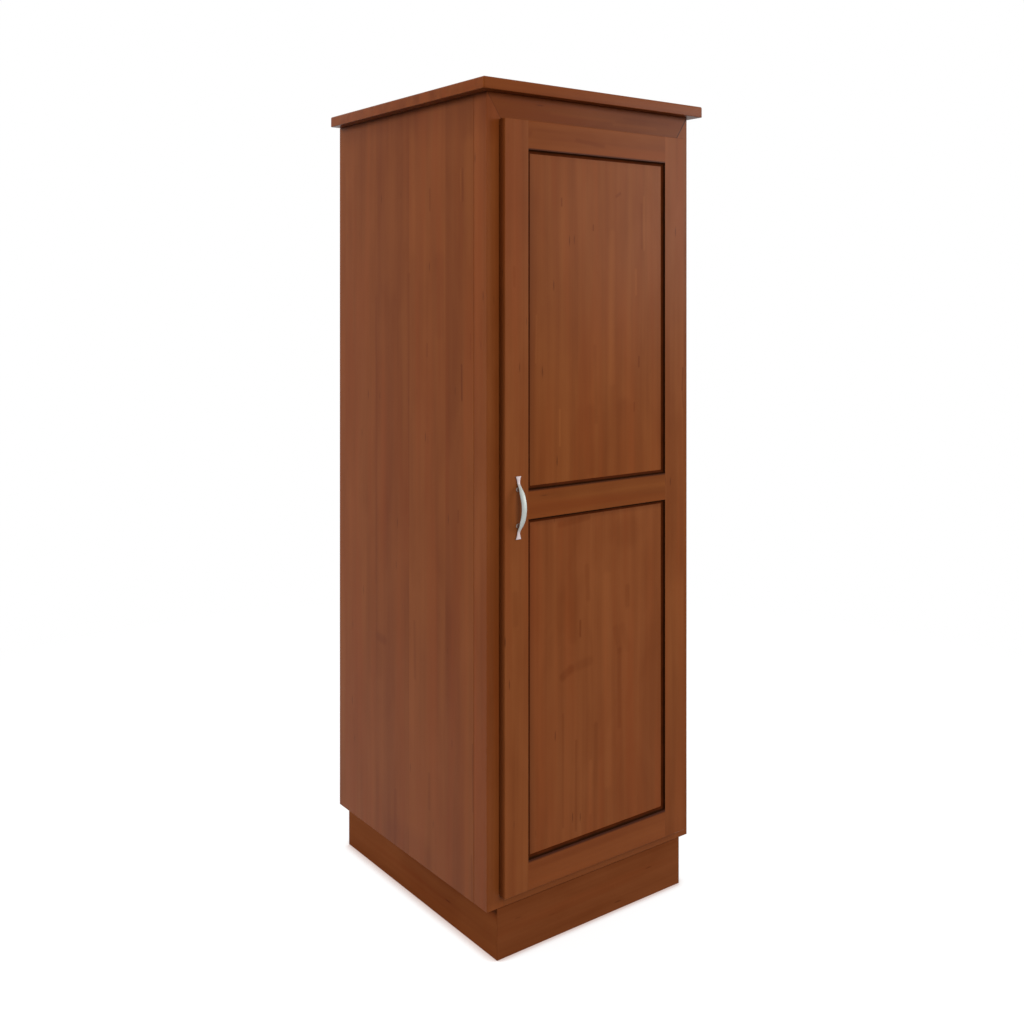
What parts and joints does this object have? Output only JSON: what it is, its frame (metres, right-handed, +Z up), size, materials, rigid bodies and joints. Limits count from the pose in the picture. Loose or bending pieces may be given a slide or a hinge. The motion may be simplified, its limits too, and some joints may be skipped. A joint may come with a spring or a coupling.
{
  "type": "wardrobe",
  "caption": "Tall narrow wardrobe with a hinged frame-and-panel door, hat shelf and clothes rod inside, overhanging top and inset plinth.",
  "frame": {"origin": "on the floor, under the middle of the whole wardrobe with its pull", "axes": "+Z up, the door faces -Y, +X is to the right when facing the door"},
  "size_m": [0.634, 0.681, 1.829],
  "materials": {
    "wood_case": "satin cherry stain",
    "wood_inner": "clear satin lacquer",
    "dark_stain": "dark glaze",
    "nickel": "satin nickel",
    "hinge_steel": "satin",
    "screw_steel": "zinc plated",
    "catch_plastic": "matte",
    "felt": "felt"
  },
  "bodies": {
    "case": {"top_panel": "wood_case", "left_side_panel": "wood_case", "right_side_panel": "wood_case", "frame_post_left": "wood_case", "frame_post_right": "wood_case", "frame_top_rail": "wood_case", "frame_bottom_rail": "wood_case", "plinth_front": "wood_case", "plinth_back": "wood_case", "plinth_left": "wood_case", "plinth_right": "wood_case", "shelf_nosing": "wood_case", "back_panel": "wood_inner", "bottom_panel": "wood_inner", "top_stretcher_front": "wood_inner", "top_stretcher_back": "wood_inner", "wall_rail": "wood_inner", "base_bearer_left": "wood_inner", "base_bearer_right": "wood_inner", "plinth_block_front_left": "wood_inner", "plinth_block_front_right": "wood_inner", "plinth_block_back_left": "wood_inner", "plinth_block_back_right": "wood_inner", "hat_shelf": "wood_inner", "shelf_cleat_left": "wood_inner", "shelf_cleat_right": "wood_inner", "clothes_rod": "nickel", "rod_socket_left": "nickel", "rod_socket_right": "nickel", "hinge_upper_frame_leaf": "hinge_steel", "hinge_upper_pin": "hinge_steel", "hinge_middle_frame_leaf": "hinge_steel", "hinge_middle_pin": "hinge_steel", "hinge_lower_frame_leaf": "hinge_steel", "hinge_lower_pin": "hinge_steel", "rod_socket_screws": "screw_steel", "top_screws": "screw_steel", "cleat_screws": "screw_steel", "back_panel_screws": "screw_steel", "hinge_frame_screws": "screw_steel", "catch_magnets": "screw_steel", "catch_upper": "catch_plastic", "catch_lower": "catch_plastic"},
    "door": {"door_stile_left": "wood_case", "door_stile_right": "wood_case", "door_top_rail": "wood_case", "door_middle_rail": "wood_case", "door_bottom_rail": "wood_case", "door_panel_upper": "wood_case", "door_panel_lower": "wood_case", "panel_bead_upper": "dark_stain", "panel_bead_lower": "dark_stain", "pull_handle": "nickel", "pull_screws": "screw_steel", "door_bumpers": "felt", "hinge_upper_door_leaf": "hinge_steel", "hinge_middle_door_leaf": "hinge_steel", "hinge_lower_door_leaf": "hinge_steel", "hinge_door_screws": "screw_steel", "catch_strikes": "screw_steel"}
  },
  "joints": [
    {"name": "door_swing", "type": "hinge", "parent": "case", "child": "door", "pos_m": [0.264, -0.29833, 0.94325], "axis": [0, 0, 1], "range_deg": [0, 105]}
  ]
}
